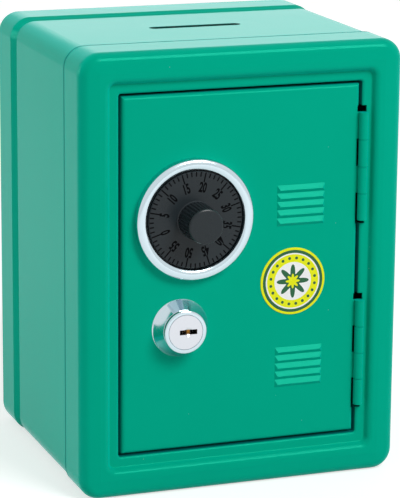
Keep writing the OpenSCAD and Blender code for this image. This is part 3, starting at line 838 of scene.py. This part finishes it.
class COINBANK_OT_label(bpy.types.Operator):
    """Prints the round label on the door"""

    bl_idname = "coinbank.label"
    bl_label = "Print the Label"

    def execute(self, context):
        values = settings().label
        low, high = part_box("label_disc")
        centre = Vector(((low[0] + high[0]) / 2, DOOR_FACE, (low[2] + high[2]) / 2))
        radius = (high[0] - low[0]) / 2
        thick = high[1] - low[1]
        bm = bmesh.new()
        bmesh.ops.create_cone(
            bm,
            cap_ends=True,
            segments=96,
            radius1=radius,
            radius2=radius,
            depth=thick,
            matrix=Matrix.Translation((0, 0, thick / 2)),
        )
        rim = [e for e in bm.edges if all(v.co.z > thick * 0.9 for v in e.verts)]
        bmesh.ops.bevel(bm, geom=rim, offset=0.14 * MM, segments=3, profile=0.5, affect="EDGES", material=-1)
        bmesh.ops.transform(bm, verts=bm.verts, matrix=facing(centre))
        film = self.film(values, centre, radius)
        label = finish_piece(bm, "label_print", film, "door", smooth=False)
        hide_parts("label_disc")
        return {"FINISHED"}

    def film(self, values, centre, radius):
        """The printed film: a ring, a row of dots and a flower of eight petals on a plain ground."""
        material, tree, shader = new_material("label film")
        moved = node(tree, "Mapping", {"Vector": object_point(tree)})
        moved.inputs["Location"].default_value = [-c for c in centre]
        parts = node(tree, "SeparateXYZ", {"Vector": moved.outputs[0]}).outputs
        across = maths(tree, "DIVIDE", parts["X"], radius)
        up = maths(tree, "DIVIDE", parts["Z"], radius)
        reach = length_of(tree, across, up)
        angle = maths(tree, "ARCTAN2", up, across)

        def disc(edge):
            return maths(tree, "LESS_THAN", reach, edge)

        def band(inner, outer):
            return maths(tree, "COMPARE", reach, (inner + outer) / 2, (outer - inner) / 2)

        def petals(middle, swing, count):
            wave = maths(tree, "COSINE", maths(tree, "MULTIPLY", angle, count))
            return disc(maths(tree, "MULTIPLY_ADD", wave, swing, middle))

        def dots(circle, size, count):
            turns = maths(tree, "MULTIPLY", angle, count / math.tau)
            from_dot = maths(tree, "SUBTRACT", maths(tree, "FRACT", turns), 0.5)
            along = maths(tree, "MULTIPLY", from_dot, math.tau * circle / count)
            out = maths(tree, "SUBTRACT", reach, circle)
            return maths(tree, "LESS_THAN", length_of(tree, along, out), size)

        ground, dark, light = tuple(values.ground), tuple(values.dark), tuple(values.light)
        colour = blend_colours(tree, band(0.84, 0.93), ground, dark)
        colour = blend_colours(tree, band(0.8, 0.84), colour, light)
        colour = blend_colours(tree, dots(0.69, 0.045, 20), colour, dark)
        colour = blend_colours(tree, disc(0.57), colour, light)
        colour = blend_colours(tree, petals(0.36, 0.14, 8.0), colour, dark)
        colour = blend_colours(tree, petals(0.17, 0.05, 8.0), colour, ground)
        drift = place(
            tree,
            drift_group(),
            Colour=(1.0, 1.0, 1.0),
            Spread=0.02,
            Size=4.0 * MM,
            Rough_Low=0.22,
            Rough_High=0.34,
        )
        colour = blend_colours(tree, 1.0, colour, drift["Colour"], "MULTIPLY")
        relief = place(
            tree,
            relief_group(),
            Wave_Size=6.0 * MM,
            Wave_Depth=0.01 * MM,
            Grain_Size=0.5 * MM,
            Grain_Depth=0.001 * MM,
        )
        set_inputs(shader, IOR=1.35)
        wire_surface(tree, shader, colour, drift["Roughness"], relief["Normal"])
        return material


def area_light(name, location, target, size, power):
    """A soft rectangular lamp that faces a target."""
    lamp = bpy.data.lights.new(name, "AREA")
    lamp.shape = "RECTANGLE"
    lamp.size, lamp.size_y = size
    lamp.energy = power
    light = bpy.data.objects.new(name, lamp)
    light.location = location
    light.rotation_euler = (Vector(target) - Vector(location)).to_track_quat("-Z", "Y").to_euler()
    bpy.context.scene.collection.objects.link(light)


def seen_ray(tree):
    """1 for rays from the camera, for reflections and for what is seen through glass, otherwise 0."""
    path = node(tree, "LightPath").outputs
    seen = maths(tree, "MAXIMUM", path["Is Camera Ray"], path["Is Glossy Ray"])
    return maths(tree, "MAXIMUM", seen, path["Is Transmission Ray"])


class COINBANK_OT_stage(bpy.types.Operator):
    """Makes the floor, the lights, the surroundings and the camera"""

    bl_idname = "coinbank.stage"
    bl_label = "Set the Stage"

    def execute(self, context):
        values = settings().stage
        scene = context.scene
        bm = bmesh.new()
        bmesh.ops.create_grid(bm, x_segments=8, y_segments=8, size=6.0)
        mesh = bpy.data.meshes.new("floor")
        bm.to_mesh(mesh)
        bm.free()
        floor = bpy.data.objects.new("floor", mesh)
        scene.collection.objects.link(floor)
        material, tree, shader = new_material("floor paper")
        white = (1.0, 1.0, 1.0, 1.0)
        set_inputs(shader, Base_Color=(*values.floor, 1.0), Roughness=0.9, Emission_Color=white)
        glow = maths(tree, "MULTIPLY", seen_ray(tree), values.glow)
        tree.links.new(glow, shader.inputs["Emission Strength"])
        mesh.materials.append(material)

        world = bpy.data.worlds.new("studio")
        world.use_nodes = True
        tree = world.node_tree
        tree.nodes.clear()
        strength = maths(tree, "MULTIPLY_ADD", seen_ray(tree), 1.0 - values.fill, values.fill)
        background = node(tree, "Background", {"Color": white, "Strength": strength})
        output = node(tree, "OutputWorld")
        tree.links.new(background.outputs[0], output.inputs[0])
        scene.world = world

        middle = (0.0, 0.0, 0.09)
        area_light("front light", (0.42, -1.0, 1.02), (0.05, 0.0, 0.1), (0.6, 0.6), values.front_power)
        area_light("side light", (-1.35, 0.75, 0.45), middle, (0.7, 0.7), values.side_power)
        area_light("back light", (0.58, 1.25, 0.42), (0.05, 0.0, 0.17), (1.2, 0.4), values.back_power)

        scene.view_settings.view_transform = "Standard"
        self.add_camera(scene)
        return {"FINISHED"}

    def add_camera(self, scene):
        """The camera of the photograph: place, direction and lens come from a fit to its outline."""
        yaw, pitch, roll = (math.radians(a) for a in (20.160, 13.813, 0.488))
        forward = Vector((math.sin(yaw) * math.cos(pitch), math.cos(yaw) * math.cos(pitch), -math.sin(pitch)))
        right = forward.cross(Vector((0, 0, 1))).normalized()
        up = right.cross(forward)
        side = right * math.cos(roll) + up * math.sin(roll)
        top = up * math.cos(roll) - right * math.sin(roll)
        lens = bpy.data.cameras.new("camera")
        lens.lens = 183.3
        lens.sensor_width = 36.0
        lens.shift_x = -0.00964
        lens.shift_y = -0.0116
        lens.dof.use_dof = False
        camera = bpy.data.objects.new("camera", lens)
        turned = Matrix((side, top, -forward)).transposed().to_4x4()
        camera.matrix_world = Matrix.Translation((-0.337397, -0.926208, 0.327968)) @ turned
        scene.collection.objects.link(camera)
        scene.camera = camera


OPERATORS = (
    COINBANK_OT_enamel,
    COINBANK_OT_dial,
    COINBANK_OT_ring,
    COINBANK_OT_lock,
    COINBANK_OT_works,
    COINBANK_OT_label,
    COINBANK_OT_stage,
)


class COINBANK_PT_panel(bpy.types.Panel):
    """Lists the coin bank's settings and its steps"""

    bl_idname = "COINBANK_PT_panel"
    bl_label = "Coin Bank"
    bl_space_type = "VIEW_3D"
    bl_region_type = "UI"
    bl_category = "Coin Bank"

    def draw(self, context):
        layout = self.layout
        for name in ("enamel", "metal", "works", "dial", "label", "stage"):
            box = layout.box()
            box.label(text=name.capitalize())
            group = getattr(context.scene.coin_bank, name)
            for key in group.bl_rna.properties.keys():
                if key not in ("rna_type", "name"):
                    box.prop(group, key)
        for operator in OPERATORS:
            layout.operator(operator.bl_idname)


CLASSES = (
    EnamelSettings,
    MetalSettings,
    WorksSettings,
    DialSettings,
    LabelSettings,
    StageSettings,
    CoinBankSettings,
    *OPERATORS,
    COINBANK_PT_panel,
)


def register():
    for cls in CLASSES:
        bpy.utils.register_class(cls)
    bpy.types.Scene.coin_bank = PointerProperty(type=CoinBankSettings)


def unregister():
    del bpy.types.Scene.coin_bank
    for cls in reversed(CLASSES):
        bpy.utils.unregister_class(cls)


def main():
    register()
    for step in ("enamel", "dial", "ring", "lock", "works", "label", "stage"):
        getattr(bpy.ops.coinbank, step)()


if __name__ == "__main__":
    main()
